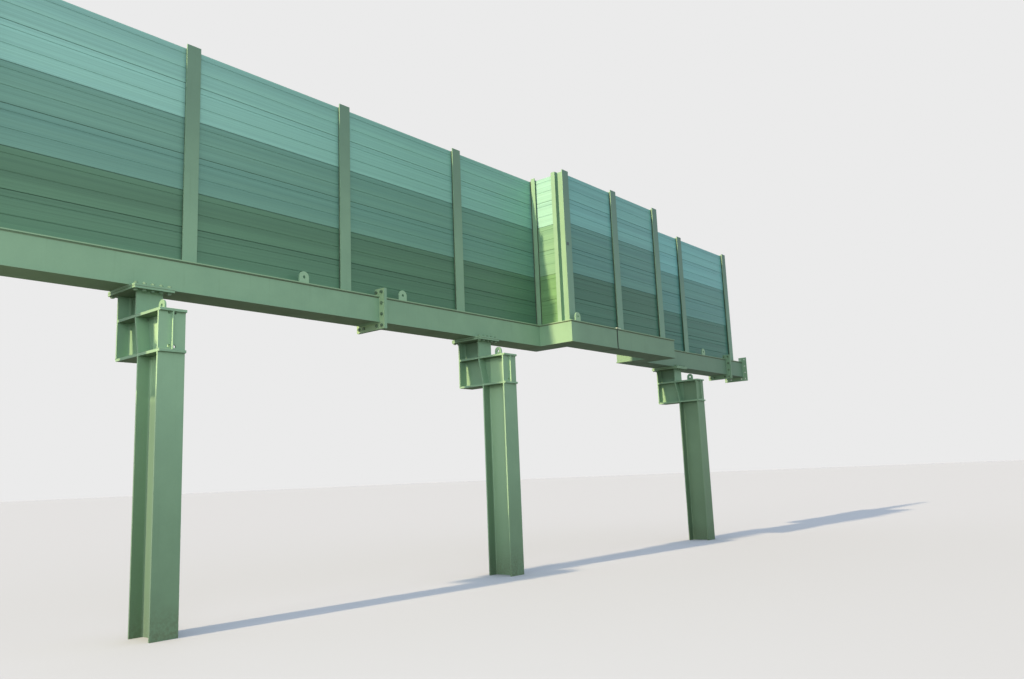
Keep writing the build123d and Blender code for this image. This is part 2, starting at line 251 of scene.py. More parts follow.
# Grains are a scale, detail, roughness and stretch, and what ends in Dull is added to the roughness
steelLook = {
    "paint": tone(134, 172, 144),
    "fresh": tone(141, 180, 149),
    "worn": tone(124, 161, 134),
    "rain": tone(96, 122, 96),
    "dust": tone(146, 150, 130),
    "splash": tone(92, 96, 74),
    "under": tone(66, 80, 56),
    "seamAndShadow": tone(70, 66, 46),
    "gapAndShade": tone(20, 38, 26),
    "edge": tone(158, 188, 148),
    "shade": tone(84, 112, 106),
    "sheen": tone(158, 196, 162),
    "cool": tone(92, 134, 150),
    "cloudGrain": (0.7, 4.0),
    "patchGrain": (3.2, 4.0, 0.55),
    "speckGrain": (38.0, 3.0, 0.6),
    "waveGrain": (9.0, 2.0),
    "rainGrain": (1.0, 4.0, 0.6, (24, 24, 0.9)),
    "wearSpan": (0.36, 0.64),
    "rainSpan": (0.54, 0.78),
    "dustSpan": (0.3, 0.7),
    "splashSpan": (0.25, 0.7),
    "evenAmount": 0.5,
    "rainAmount": 0.12,
    "dustAmount": 0.35,
    "underAmount": 0.55,
    "underPatch": 0.3,
    "dirtAndShadeAmount": 0.55,
    "dirtAndShadeTop": 2.8,
    "dirtAndShadeUneven": 0.6,
    "splashAmount": 0.55,
    "splashTop": 0.50,
    "splashUneven": 0.5,
    "speckAmount": 0.06,
    "specular": 0.22,
    "roughness": 0.46,
    "patchDull": 0.10,
    "levelDull": 0.18,
    "underDull": 0.35,
    "splashDull": 0.25,
    "relief": 0.6,
    "depth": 0.0008,
}


def steelPaint(name, marks=()):
    # Marks are tones that lie over the paint, each with its place and its amount
    look = steelLook
    f = Finish(name, look["specular"])
    cloud, patch, speck = [f.grain(*look[key]) for key in ("cloudGrain", "patchGrain", "speckGrain")]
    upright = f.upright()
    colour = f.tint(look["worn"], look["fresh"], twoGrains(cloud, patch).ease(*look["wearSpan"]))
    colour = f.tint(colour, look["paint"], look["evenAmount"])
    rain = f.grain(*look["rainGrain"]).ease(*look["rainSpan"])
    colour = f.tint(colour, look["rain"], rain * upright * look["rainAmount"])
    level = f.towards(faceUp, "level")
    colour = f.tint(colour, look["dust"], level * patch.ease(*look["dustSpan"]) * look["dustAmount"])
    # Painted shade: the faces that look down are darkened with the under tone
    under = f.towards(faceDown, "level")
    colour = f.tint(colour, look["under"], under * (look["underAmount"] + patch * look["underPatch"]))
    # Darker towards the foot, partly road dirt and partly painted shade near the ground, and splashes reach
    # half a metre up
    dirtAndShade = 1 - uneven(f.z, cloud, look["dirtAndShadeUneven"]).ease(0.0, look["dirtAndShadeTop"])
    colour = f.tint(colour, look["rain"], dirtAndShade * upright * look["dirtAndShadeAmount"])
    splash = 1 - uneven(f.z, patch, look["splashUneven"]).ease(0.0, look["splashTop"])
    splash = splash * speck.ease(*look["splashSpan"])
    colour = f.tint(colour, look["splash"], splash * look["splashAmount"])
    for mark, where, amount in marks:
        colour = f.tint(colour, mark, where(f) * amount)
    colour = f.shaded(colour, uneven(1, speck, look["speckAmount"]))
    roughness = look["roughness"] + patch * look["patchDull"] + level * look["levelDull"]
    roughness = roughness + under * look["underDull"] + splash * look["splashDull"]
    return f.made(colour, roughness, (speck + f.grain(*look["waveGrain"])) * look["relief"], look["depth"])


# Where the marks lie: heights and distances between which each one comes or goes
markPlaces = {
    "columnReach": 0.6,  # To each side of a column's middle
    # The first column's left side takes painted shade below sideTurn and painted light above it
    "sideTurn": (2.35, 2.65),  # The first column's side is dull below and bright above
    "frontRise": (0.9, 3.0),
    "webRise": (-0.6, 2.2),
    "flangeDepth": (0.0, 0.1),
    "stubRise": (0.0, 0.15),
    "postRise": (-0.6, 3.2),
    "stepStart": (-0.4, 0.2),
    "rightward": (0.0, 6.0),
    "leftward": (0.0, 3.0),
    "spliceReach": 0.4,
    "seamReach": 0.0035,
}


def columnFace(index, direction, rise=None):
    # The faces of one column that look one way, more and more up a rise where one is given
    place = centresX(columnBoxes)[index]

    def where(f):
        found = f.towards(direction) * f.x.near(place, markPlaces["columnReach"])
        return found * f.z.ease(*rise) if rise else found

    return where


def lowerSide(f):
    # Painted shade on the lower part of the first column's left side
    return columnFace(0, faceLeft)(f) * (1 - f.z.ease(*markPlaces["sideTurn"]))


def innerFlange(f):
    # Painted shade on the faces that look forward from inside the columns
    return f.towards(faceFront) * (f.y - middle(columnBoxes[0]).y).ease(*markPlaces["flangeDepth"])


def stubHead(f):
    # Painted shade on the stubs' left faces, under the plates that carry the girder
    return f.towards(faceLeft) * (f.z - topPlateBoxes[0][1].z).ease(*markPlaces["stubRise"])


def offSun(f):
    # 0 on the faces that look left towards the sun, which the painted shade leaves out
    return 1 - f.towards(faceLeft, "roughly")


def postHead(f):
    # Painted shade: posts darker towards the top
    return (f.z - girderTop).ease(*markPlaces["postRise"]) * offSun(f)


def pastStep(f):
    # 1 past the step: the parts there take painted shade, apart from the faces that look left to the sun
    return (f.x - cornerLeftX).ease(*markPlaces["stepStart"]) * offSun(f)


def rightward(f):
    # More and more towards the right end
    return (f.x - cornerLeftX).ease(*markPlaces["rightward"])


def leftward(f):
    # Full at the left end
    return 1 - (f.x - girderLow.x).ease(*markPlaces["leftward"])


def firstSplice(f):
    # Painted highlight on the first splice plates' left faces
    return f.towards(faceLeft) * f.x.near(firstSpliceX, markPlaces["spliceReach"])


def bearingSeam(f):
    # The line between the two bolted plates on each stub
    return f.z.near(capBoxes[0][1].z, markPlaces["seamReach"])


# The girder's own marks: painted shadow in the corners under the plates' lips, a painted highlight on the
# top plate's edge, the butt joint and the site coats
girderMarks = {
    "plate": 0.015,
    "edgeSoft": 0.002,
    "lipLine": 0.014,
    "lipSpan": (0.5, 0.8),
    "jointLine": 0.024,
    "coatSpan": (0.085, 0.155),
    "coatGrain": (6.0, 2.0),
    "coatUneven": 0.03,
}


def underLip(f):
    # Painted shadow in the corner under the top plate's lip
    line = girderMarks["lipLine"]
    start, end = [line * share for share in girderMarks["lipSpan"]]
    off = (f.z - (girderTop - girderMarks["plate"] - line / 2)).size()
    return (1 - off.ease(start, end)) * f.upright()


def plateEdgeHighlight(f):
    # Painted highlight on the narrow edge of the top plate
    soft = girderMarks["edgeSoft"]
    return (f.z - (girderTop - girderMarks["plate"])).ease(-soft, soft) * f.upright()


def buttJoint(f):
    return f.x.near(jogJointX, girderMarks["jointLine"])


def siteCoat(f):
    # Fresher paint to each side of a splice, with a ragged edge
    off = (f.x - firstSpliceX).size().least((f.x - secondSpliceX).size())
    off = off + f.grain(*girderMarks["coatGrain"]) * girderMarks["coatUneven"]
    return 1 - off.ease(*girderMarks["coatSpan"])


plainSteel = steelPaint("greenSteel")
bearingSteel = steelPaint("bearingSteel", [(steelLook["seamAndShadow"], bearingSeam, 0.8)])
# Painted light and shade on the girder: shade past the step and towards the right end, a shadow under the
# lip, a highlight on the plate's edge and light at the left end
girderSteel = steelPaint("girderSteel", [
    (steelLook["fresh"], siteCoat, 0.5),
    (steelLook["shade"], pastStep, 0.30),
    (steelLook["shade"], rightward, 0.22),
    (steelLook["seamAndShadow"], underLip, 0.75),
    (steelLook["edge"], plateEdgeHighlight, 0.35),
    (steelLook["sheen"], leftward, 0.35),
    (steelLook["gapAndShade"], buttJoint, 1.0),
])
# Painted light and shade on the columns: shade low on the first column's left side and light above it, light
# up its front and on the second column's left side, and shade inside the flanges, past the step and on the
# third column's left side
columnSteel = steelPaint("columnSteel", [
    (steelLook["shade"], lowerSide, 0.68),
    (steelLook["sheen"], columnFace(0, faceLeft, markPlaces["sideTurn"]), 0.95),
    (steelLook["rain"], innerFlange, 0.45),
    (steelLook["sheen"], columnFace(0, faceFront, markPlaces["frontRise"]), 0.25),
    (steelLook["sheen"], columnFace(1, faceLeft, markPlaces["webRise"]), 0.8),
    (steelLook["rain"], pastStep, 0.42),
    (steelLook["rain"], columnFace(2, faceLeft), 0.4),
])
stubSteel = steelPaint("stubSteel", [(steelLook["gapAndShade"], stubHead, 0.35)])
lugSteel = steelPaint("lugSteel", [(steelLook["sheen"], lambda f: f.towards(faceFront), 0.6)])
# A painted highlight on the first splice's left faces, and painted shade past the step
endSteel = steelPaint("endSteel", [
    (steelLook["edge"], firstSplice, 0.7),
    (steelLook["shade"], pastStep, 0.2),
])
# Painted shade towards the posts' tops, and a painted cool shade on the posts past the step
postSteel = steelPaint("postSteel", [
    (steelLook["shade"], postHead, 0.55),
    (steelLook["cool"], pastStep, 0.22),
])

sealLook = {
    "paint": tone(62, 74, 62),
    "worn": tone(96, 114, 94),
    "grain": (7.0, 4.0, 0.6, (1, 1, 0.25)),
    "poreGrain": (60.0, 2.0),
    "wornSpan": (0.35, 0.7),
    "wornAmount": 0.7,
    "specular": 0.35,
    "roughness": 0.62,
    "wornDull": 0.2,
    "depth": 0.0006,
}


def sealRubber():
    look = sealLook
    f = Finish("sealRubber", look["specular"])
    worn = f.grain(*look["grain"])
    colour = f.tint(look["paint"], look["worn"], worn.ease(*look["wornSpan"]) * look["wornAmount"])
    pores = f.grain(*look["poreGrain"])
    return f.made(colour, look["roughness"] + worn * look["wornDull"], pores, look["depth"])


def dress(nodeName, material):
    mesh = nodes[nodeName].data
    mesh.materials.clear()
    mesh.materials.append(material)


coats = {
    "panel_seals": sealRubber(),
    "columns": columnSteel,
    "front_ribs": columnSteel,
    "stubs": stubSteel,
    "stub_cap_plates": bearingSteel,
    "girder_bearing_plates": bearingSteel,
    "girder_lugs": lugSteel,
    "girder_left": girderSteel,
    "corner_girder_left": girderSteel,
    "corner_girder_right": girderSteel,
    "girder_right": girderSteel,
}
for nodeName in nodes:
    if nodeName in coats:
        dress(nodeName, coats[nodeName])
    elif nodeName.endswith(("end_plate", "end_plates")):
        dress(nodeName, endSteel)
    elif nodeName.endswith("posts"):
        dress(nodeName, postSteel)
    elif not nodeName.endswith("cassettes"):
        dress(nodeName, plainSteel)

# Beads and joints are placed and spread in shares of a cassette's height, and each streak has a detail,
# a roughness and a scale up the wall
cassetteLook = {
    "light": {"paint": tone(139, 190, 178), "low": tone(146, 198, 182)},
    "mid": {"paint": tone(110, 156, 142), "low": tone(118, 163, 144)},
    "dark": {"paint": tone(92, 131, 107), "low": tone(98, 138, 111)},
    "dirtAndShade": tone(50, 68, 54),
    "pitch": 0.450,
    "beads": (0.83, 0.42),
    "beadSpan": (0.004, 0.020),
    "beadShade": 0.10,
    "jointSpan": (0.002, 0.011),
    "jointGrime": 0.62,
    "footSpan": (0.0, 0.10),
    "footGrime": 0.2,
    "punched": 0.16,
    "streakAcross": 2.0,
    "streakAlong": 0.10,
    "streaks": {"broad": (3.0, 0.55, 9.0), "drawn": (3.0, 0.6, 36.0), "fine": (2.0, 0.5, 100.0)},
    "cloudGrain": (0.55, 3.0),
    "mottleGrain": (5.0, 3.0, 0.6),
    "waveGrain": (3.0, 2.0),
    "softSpan": (0.3, 0.7),
    "drawnSpan": (0.32, 0.68),
    "lowSpan": (0.35, 0.65),
    "drawnAmount": 0.11,
    "fineAmount": 0.11,
    "broadAmount": 0.07,
    "bayAmount": 0.06,
    "cloudAmount": 0.05,
    "mottleAmount": 0.03,
    "darkest": 0.79,
    "trimSpan": (-7.0, 0.5),
    "specular": 0.18,
    "roughness": 0.24,
    "drawnDull": 0.14,
    "backDull": 0.34,
    "jointDull": 0.2,
    "fineRelief": 0.5,
    "depth": 0.0012,
}


def cassettePaint(name, shade, bayStart, bayWidth, alongY, rear, trims):
    # alongY is true on the returns, and trims are the painted light tints at the left and the right end
    look = cassetteLook
    f = Finish(name, look["specular"])
    rows = (f.z - wallFoot) / look["pitch"]
    share = rows.fraction()
    bay = (((f.y if alongY else f.x) - bayStart) / bayWidth).whole()
    cell = f.node("CombineXYZ", None, {0: bay, 1: rows.whole()})
    each = f.node("TexWhiteNoise", {"noise_dimensions": "2D"}, {"Vector": cell})
    grains = {}
    for kind, (detail, rough, narrow) in look["streaks"].items():
        across, along = look["streakAcross"], look["streakAlong"]
        stretch = (across, along, narrow) if alongY else (along, across, narrow)
        grains[kind] = f.grain(1.0, detail, rough, stretch)
    broad, drawn, fine = grains["broad"], grains["drawn"], grains["fine"]
    cloud = f.grain(*look["cloudGrain"])
    mottle = f.grain(*look["mottleGrain"])
    low = ((1 - share).ease(0.0, 1.0) + broad.ease(*look["lowSpan"])) * 0.5
    colour = f.tint(look[shade]["paint"], look[shade]["low"], low)
    streaks = drawn.ease(*look["drawnSpan"]) * look["drawnAmount"]
    streaks = streaks + fine.ease(*look["softSpan"]) * look["fineAmount"]
    streaks = streaks + broad.ease(*look["softSpan"]) * look["broadAmount"]
    patches = each * look["bayAmount"] + cloud * look["cloudAmount"] + mottle * look["mottleAmount"]
    colour = f.shaded(colour, streaks + patches + look["darkest"])
    # Beads are on the front only, and the far side is punched all over with holes of a few millimetres
    back = f.towards(rear)
    # Painted shade darkens the bead grooves on the front
    upper, lower = [1 - (share - place).size().ease(*look["beadSpan"]) for place in look["beads"]]
    beads = upper.most(lower) * (1 - back)
    joints = 1 - share.least(1 - share).ease(*look["jointSpan"])
    foot = (1 - (f.z - wallFoot).ease(*look["footSpan"])) * mottle.ease(*look["softSpan"])
    holes = back * (1 - joints)
    layers = ((beads, "beadShade"), (joints, "jointGrime"), (foot, "footGrime"), (holes, "punched"))
    for where, amount in layers:
        colour = f.tint(colour, look["dirtAndShade"], where * look[amount])
    trim = f.tint(trims[0], trims[1], f.x.ease(*look["trimSpan"]))
    colour = f.tint(colour, trim, 1.0, "MULTIPLY")
    roughness = look["roughness"] + drawn * look["drawnDull"] + back * look["backDull"]
    roughness = roughness + joints * look["jointDull"]
    relief = drawn + (fine + f.grain(*look["waveGrain"])) * look["fineRelief"]
    return f.made(colour, roughness, relief, look["depth"])


# Painted light and shade on the cassettes: they are painted darker and bluer to the right, as shade and the
# sky's reflection fall there, and the return that faces the sun is painted lighter, as sunlit
paintedLightTints = {
    "left": (1.03, 1.02, 1.08, 1.0),
    "middle": (0.75, 0.85, 0.84, 1.0),
    "paintedSunLight": (1.08, 1.0, 1.0, 1.0),
    "paintedSunMid": (1.22, 1.11, 0.90, 1.0),
    "paintedSunDark": (1.42, 1.38, 1.02, 1.0),
    "jog": (0.68, 0.83, 0.96, 1.0),
    "jogDark": (0.65, 0.81, 0.95, 1.0),
    "right": (0.70, 0.91, 1.09, 1.0),
    "rightDark": (0.62, 0.89, 1.13, 1.0),
}
returnWidth = girderWidth * 4  # More than a return is long, so that each return is one bay
# Each stretch: its first bay's start and width, whether it runs back, its far side, and its painted light
# tints
stretches = {
    "left_run": (leftPosts[0], leftPosts[1] - leftPosts[0], False, faceBack, ("left", "middle")),
    "left_return": (jogFront, returnWidth, True, faceRight, ("paintedSun", "paintedSun")),
    "jog": (jogPosts[0], jogPosts[1] - jogPosts[0], False, faceBack, ("jog", "jog")),
    "right_return": (jogFront, returnWidth, True, faceLeft, ("right", "right")),
    "right_run": (rightPosts[0], rightPosts[1] - rightPosts[0], False, faceBack, ("right", "right")),
}
for stretch, (bayStart, bayWidth, alongY, rear, ends) in stretches.items():
    for shade in ("dark", "mid", "light"):
        nodeName = f"{stretch}_{shade}_cassettes"
        trims = [paintedLightTints.get(end + shade.capitalize()) or paintedLightTints[end] for end in ends]
        dress(nodeName, cassettePaint(nodeName, shade, bayStart, bayWidth, alongY, rear, trims))
print("finishes made", len(bpy.data.materials))


# Modelling helpers
sameWay = 0.9  # The least cosine between a face and a direction that picks the face


def deselect():
    bpy.ops.object.select_all(action="DESELECT")


def editFaces(piece, direction):
    # Opens a piece in edit mode with the faces that look one way selected
    for group in (piece.data.vertices, piece.data.edges, piece.data.polygons):
        for item in group:
            item.select = False
    for face in piece.data.polygons:
        face.select = face.normal.dot(Vector(direction)) > sameWay
    bpy.ops.object.mode_set(mode="EDIT")
    bpy.ops.mesh.select_mode(type="FACE")


def backToObject():
    bpy.ops.object.mode_set(mode="OBJECT")


def softened(piece, direction, width, segments):
    # Bevels the rim of the end that looks one way
    editFaces(piece, direction)
    bpy.ops.mesh.bevel(offset=width, segments=segments, affect="EDGES")
    backToObject()
    return piece


def joined(pieces, name):
    deselect()
    for piece in pieces:
        piece.select_set(True)
    bpy.context.view_layer.objects.active = pieces[0]
    if len(pieces) > 1:
        bpy.ops.object.join()
    whole = bpy.context.view_layer.objects.active
    whole.name = name
    whole.data.name = name
    return whole


def copiesAt(pattern, places, name):
    # Each copy has its own mesh, moved to its place, and then all are one piece
    made = []
    for place in places:
        twin = pattern.copy()
        twin.data = pattern.data.copy()
        twin.data.transform(place)
        bpy.context.scene.collection.objects.link(twin)
        made.append(twin)
    bpy.data.objects.remove(pattern)
    return joined(made, name)


def finished(piece, material, smoothAngle):
    deselect()
    piece.select_set(True)
    bpy.context.view_layer.objects.active = piece
    bpy.ops.object.transform_apply(location=True, rotation=True, scale=True)
    bpy.ops.object.shade_smooth_by_angle(angle=math.radians(smoothAngle))
    piece.data.materials.clear()
    piece.data.materials.append(material)
    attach(piece, "root")


def turned(origin, axis):
    # A place whose local Z runs along axis
    return Matrix.Translation(origin) @ Vector(axis).to_track_quat("Z", "Y").to_matrix().to_4x4()


def block(centre, size):
    bpy.ops.mesh.primitive_cube_add(size=1.0, location=centre)
    piece = bpy.context.object
    piece.scale = size
    bpy.ops.object.transform_apply(location=True, scale=True)
    return piece


# Bolts: a head and washer on one side, a washer, nut and thread end on the other
boltSize = {
    "shank": 0.024,
    "flats": 0.041,
    "head": 0.015,
    "nut": 0.019,
    "washer": 0.044,
    "washerThick": 0.004,
    "washerCorners": 18,
    "washerChamfer": 0.0008,
    "threadOut": 0.010,
    "threadCorners": 12,
    "threadChamfer": 0.002,
    "corner": 0.0022,
    "smoothAngle": 25,
}
boltLook = {
    "rust": tone(88, 82, 60),
    "fineGrain": (55.0, 4.0, 0.6),
    "broadGrain": (6.0, 3.0),
    "wornSpan": (0.35, 0.65),
    "rustSpan": (0.54, 0.66),
    "specular": 0.3,
    "roughness": 0.40,
    "fineDull": 0.25,
    "depth": 0.0008,
}
bearingBolts = {
    "count": 5,
    "spacing": 0.095,
    "frontOut": 0.055,
    "rearOut": 0.033,
    "paint": tone(108, 140, 116),
    "worn": tone(124, 156, 130),
    "rustAmount": 0.3,
}
spliceBolts = {
    "edge": 0.052,
    "inset": 0.107,
    "outerRows": (1, 1 / 3, -1 / 3, -1),
    "innerRows": (1, -1),
    "paint": tone(84, 108, 88),
    "worn": tone(104, 132, 108),
    "rustAmount": 0.5,
}


def boltPaint(name, bolts):
    # Painted over on site, with a little rust coming through
    look = boltLook
    f = Finish(name, look["specular"])
    fine = f.grain(*look["fineGrain"])
    broad = f.grain(*look["broadGrain"])
    colour = f.tint(bolts["paint"], bolts["worn"], broad.ease(*look["wornSpan"]))
    rust = twoGrains(fine, broad).ease(*look["rustSpan"])
    colour = f.tint(colour, look["rust"], rust * bolts["rustAmount"])
    return f.made(colour, look["roughness"] + fine * look["fineDull"], fine, look["depth"])


def prism(corners, radius, height, foot, side, chamfer):
    # Stands on foot and reaches up for side 1, down for side -1
    centre = (0, 0, foot + side * height / 2)
    bpy.ops.mesh.primitive_cylinder_add(vertices=corners, radius=radius, depth=height, location=centre)
    body = bpy.context.object
    bpy.ops.object.transform_apply(location=True)
    return softened(body, (0, 0, side), chamfer, 1)


def boltPattern(grip):
    # The head is above zero and the nut below the plates that it clamps
    deselect()
    size = boltSize
    thick = size["washerThick"]
    nutFoot = -grip - thick
    washer = (size["washerCorners"], size["washer"] / 2, thick)
    hexagon = (6, size["flats"] / math.sqrt(3))
    thread = (size["threadCorners"], size["shank"] / 2, size["threadOut"])
    parts = [
        prism(*washer, 0.0, 1, size["washerChamfer"]),
        prism(*hexagon, size["head"], thick, 1, size["corner"]),
        prism(*washer, -grip, -1, size["washerChamfer"]),
        prism(*hexagon, size["nut"], nutFoot, -1, size["corner"]),
        prism(*thread, nutFoot - size["nut"], -1, size["threadChamfer"]),
    ]
    return joined(parts, "boltPattern")


def makeBolts(name, grip, places, paint):
    finished(copiesAt(boltPattern(grip), places, name), paint, boltSize["smoothAngle"])


def makeBearingBolts():
    places = []
    for plate, cap in zip(bearingBoxes, capBoxes):
        centre = middle(plate)
        for y in (mainFront - bearingBolts["frontOut"], mainRear + bearingBolts["rearOut"]):
            for step in range(bearingBolts["count"]):
                x = centre.x + (step - (bearingBolts["count"] - 1) / 2) * bearingBolts["spacing"]
                places.append(turned((x, y, cap[0].z), faceDown))
    grip = bearingBoxes[0][1].z - capBoxes[0][0].z
    makeBolts("bearing_bolts", grip, places, boltPaint("bearingBoltPaint", bearingBolts))


def makeSpliceBolts():
    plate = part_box("corner_girder_left_end_plate")
    centre = middle(plate)
    spanY = (plate[1].y - plate[0].y) / 2 - spliceBolts["edge"]
    spanZ = (plate[1].z - plate[0].z) / 2 - spliceBolts["edge"]
    innerY = spanY - spliceBolts["inset"]
    spots = [(side * spanY, spanZ * level) for side in (1, -1) for level in spliceBolts["outerRows"]]
    spots += [(side * innerY, spanZ * level) for side in (1, -1) for level in spliceBolts["innerRows"]]
    thick = plate[1].x - plate[0].x
    places = []
    for spliceX in (firstSpliceX, secondSpliceX):
        for y, z in spots:
            places.append(turned((spliceX - thick, centre.y + y, centre.z + z), faceLeft))
    makeBolts("splice_bolts", 2 * thick, places, boltPaint("spliceBoltPaint", spliceBolts))


makeBearingBolts()
makeSpliceBolts()
print("bolts made")


# Welds: a bead of a few sides, half sunk in the corner between two plates
weldSize = {"heavy": 0.007, "plain": 0.0055, "fine": 0.004, "sides": 8, "smoothAngle": 60}
weldLook = {
    "paint": tone(124, 161, 138),
    "crest": tone(138, 176, 150),
    "stain": tone(92, 100, 72),
    "rippleGrain": (160.0, 2.0, 0.5),
    "broadGrain": (4.0, 3.0),
    "crestSpan": (0.3, 0.7),
    "stainSpan": (0.55, 0.8),
    "stainAmount": 0.35,
    "specular": 0.3,
    "roughness": 0.38,
    "broadDull": 0.2,
    "depth": 0.002,
}

# The sections and plates, as the welds follow them: clearOf is in flange thicknesses
sectionSize = {
    "columnFlange": 0.021,
    "columnWeb": 0.0115,
    "clearOf": 2.5,
    "webEnd": 0.048,
    "slantSnipe": 0.030,
    "postFlange": 0.014,
    "girderLip": 0.015,
    "endPlate": 0.025,
}


def weldPaint():
    look = weldLook
    f = Finish("weldPaint", look["specular"])
    ripple = f.grain(*look["rippleGrain"])
    broad = f.grain(*look["broadGrain"])
    colour = f.tint(look["paint"], look["crest"], ripple.ease(*look["crestSpan"]))
    colour = f.tint(colour, look["stain"], broad.ease(*look["stainSpan"]) * look["stainAmount"])
    return f.made(colour, look["roughness"] + broad * look["broadDull"], ripple, look["depth"])


weldCoat = weldPaint()


def beadPattern():
    # One metre long and of one metre radius, for beadPlace to bring to size
    deselect()
    centre = (0, 0, 0.5)
    bpy.ops.mesh.primitive_cylinder_add(vertices=weldSize["sides"], radius=1.0, depth=1.0, location=centre)
    bead = bpy.context.object
    bpy.ops.object.transform_apply(location=True)
    return bead


def beadPlace(start, end, radius):
    start, end = Vector(start), Vector(end)
    length = (end - start).length
    return turned(start, end - start) @ Matrix.Diagonal((radius, radius, length, 1.0))


def makeWelds(name, runs):
    places = [beadPlace(start, end, radius) for start, end, radius in runs]
    finished(copiesAt(beadPattern(), places, name), weldCoat, weldSize["smoothAngle"])


def sectionFoot(low, high, z, radius):
    # Round the outer sides of a section that stands on or hangs from a plate
    corners = [(low.x, low.y), (high.x, low.y), (high.x, high.y), (low.x, high.y)]
    runs = []
    for (ax, ay), (bx, by) in zip(corners, corners[1:] + corners[:1]):
        runs.append(((ax, ay, z), (bx, by, z), radius))
    return runs


def flangeFoot(low, high, flange, z, radius, sides=(0, 1)):
    # The outer face and both ends of each flange of an H section
    runs = []
    faces = [(low.y, low.y + flange), (high.y, high.y - flange)]
    for near, far in [faces[side] for side in sides]:
        runs.append(((low.x, near, z), (high.x, near, z), radius))
        runs.append(((low.x, near, z), (low.x, far, z), radius))
        runs.append(((high.x, near, z), (high.x, far, z), radius))
    return runs


def makePostWelds():
    runs = []
    for low, high in leftPostBoxes + jogPostBoxes + rightPostBoxes:
        runs += flangeFoot(low, high, sectionSize["postFlange"], girderTop, weldSize["plain"])
    makeWelds("post_welds", runs)


def headRuns(column, stub, topPlate, bottomPlate, strip, rib, cap, bearing):
    heavy, plain, fine = weldSize["heavy"], weldSize["plain"], weldSize["fine"]
    flange, web, snipe = sectionSize["columnFlange"], sectionSize["columnWeb"] / 2, sectionSize["slantSnipe"]
    clear = sectionSize["clearOf"] * flange
    x = middle(column).x
    left, right = column[0].x, column[1].x
    front, rear = column[0].y, column[1].y
    stubFront, stubRear = stub[0].y, stub[1].y
    foot, head = bottomPlate[1].z, topPlate[0].z
    runs = []

    def across(y, z, radius):
        runs.append(((left, y, z), (right, y, z), radius))

    def level(sideX, startY, endY, z):
        runs.append(((sideX, startY, z), (sideX, endY, z), fine))

    def upright(sideX, y, startZ, endZ):
        runs.append(((sideX, y, startZ), (sideX, y, endZ), fine))

    # Across the flanges, above and below each level plate
    across(front, head, plain)
    across(front, strip[0].z, plain)
    across(front, strip[1].z, plain)
    across(rear, bottomPlate[0].z, plain)
    across(stubFront, topPlate[1].z, plain)
    # The slanted plates' two ends
    for y, z in ((rear - flange, foot), (rear, foot), (stubFront, head), (stubFront + flange, head)):
        across(y, z, fine)
    # The stub on the bottom plate and under the cap plate
    runs += flangeFoot(stub[0], stub[1], flange, foot, plain, sides=(1,))
    runs += flangeFoot(stub[0], stub[1], flange, cap[0].z, plain)
    lean = (stubFront + flange - rear) / (head - foot)
    for side in (1, -1):
        webX = x + side * web
        # The slanted plates' edges along the web
        for y in (rear - flange, rear):
            start = (webX, y + lean * snipe, foot + snipe)
            end = (webX, y + lean * (head - foot - snipe), head - snipe)
            runs.append((start, end, fine))
        # Beside the webs, along the stiffeners and the level plates
        for z in (strip[0].z, strip[1].z):
            level(webX, front + clear, rear - clear, z)
        for z in (topPlate[0].z, topPlate[1].z):
            level(webX, stubFront + clear, stubRear - clear, z)
        level(webX, front + clear, stubFront, head)
        level(webX, rear, stubRear - clear, foot)
        # The bracket web's butt welds on the two rolled webs
        upright(webX, rear - sectionSize["webEnd"], foot, head)
        upright(webX, stubFront + sectionSize["webEnd"], foot, head)
        # The rib on the front flange
        upright(x + side * (rib[1].x - rib[0].x) / 2, front, rib[0].z, rib[1].z)
    # The bearing plate under the girder
    low = Vector((bearing[0].x, mainFront, 0))
    high = Vector((bearing[1].x, mainRear, 0))
    return runs + sectionFoot(low, high, girderFoot, heavy)


def makeHeadWelds():
    heads = zip(
        columnBoxes, stubBoxes, topPlateBoxes, bottomPlateBoxes, stripBoxes, ribBoxes, capBoxes, bearingBoxes
    )
    runs = []
    for boxes in heads:
        runs += headRuns(*boxes)
    makeWelds("head_welds", runs)


def makeGirderWelds():
    lip, thick = sectionSize["girderLip"], sectionSize["endPlate"]
    lower, upper = girderFoot + girderMarks["plate"], girderTop - girderMarks["plate"]
    startX, endX = girderLow.x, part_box("girder_right")[1].x
    half = girderWidth / 2 - lip
    # Each side of the girder: its line outside the step, its line in the step, and its two corners
    sides = [
        (mainFront + lip, jogFront + lip, cornerLeftX - half, cornerRightX + half),
        (mainRear - lip, jogRear - lip, cornerLeftX + half, cornerRightX - half),
    ]
    runs = []
    for mainY, jogY, leftX, rightX in sides:
        before = [(startX, mainY), (leftX, mainY), (leftX, jogY)]
        path = before + [(rightX, jogY), (rightX, mainY), (endX, mainY)]
        for z in (upper, lower):
            for start, end in zip(path, path[1:]):
                runs.append(((*start, z), (*end, z), weldSize["fine"]))
    # Round the girder at each end plate
    plateFaces = [startX, endX]
    for spliceX in (firstSpliceX, secondSpliceX):
        plateFaces += [spliceX - thick, spliceX + thick]
    for x in plateFaces:
        for y in (mainFront + lip, mainRear - lip):
            runs.append(((x, y, lower), (x, y, upper), weldSize["plain"]))
        for z in (girderFoot, girderTop):
            runs.append(((x, mainFront, z), (x, mainRear, z), weldSize["plain"]))
    makeWelds("girder_welds", runs)


def makeLugWelds():
    runs = []
    for low, high in lugBoxes:
        runs += sectionFoot(low, high, low.z, weldSize["plain"])
    for low, high in channelBoxes:
        runs += sectionFoot(low, high, low.z, weldSize["fine"])
    makeWelds("lug_welds", runs)


makePostWelds()
makeHeadWelds()
makeGirderWelds()
makeLugWelds()
print("welds made")


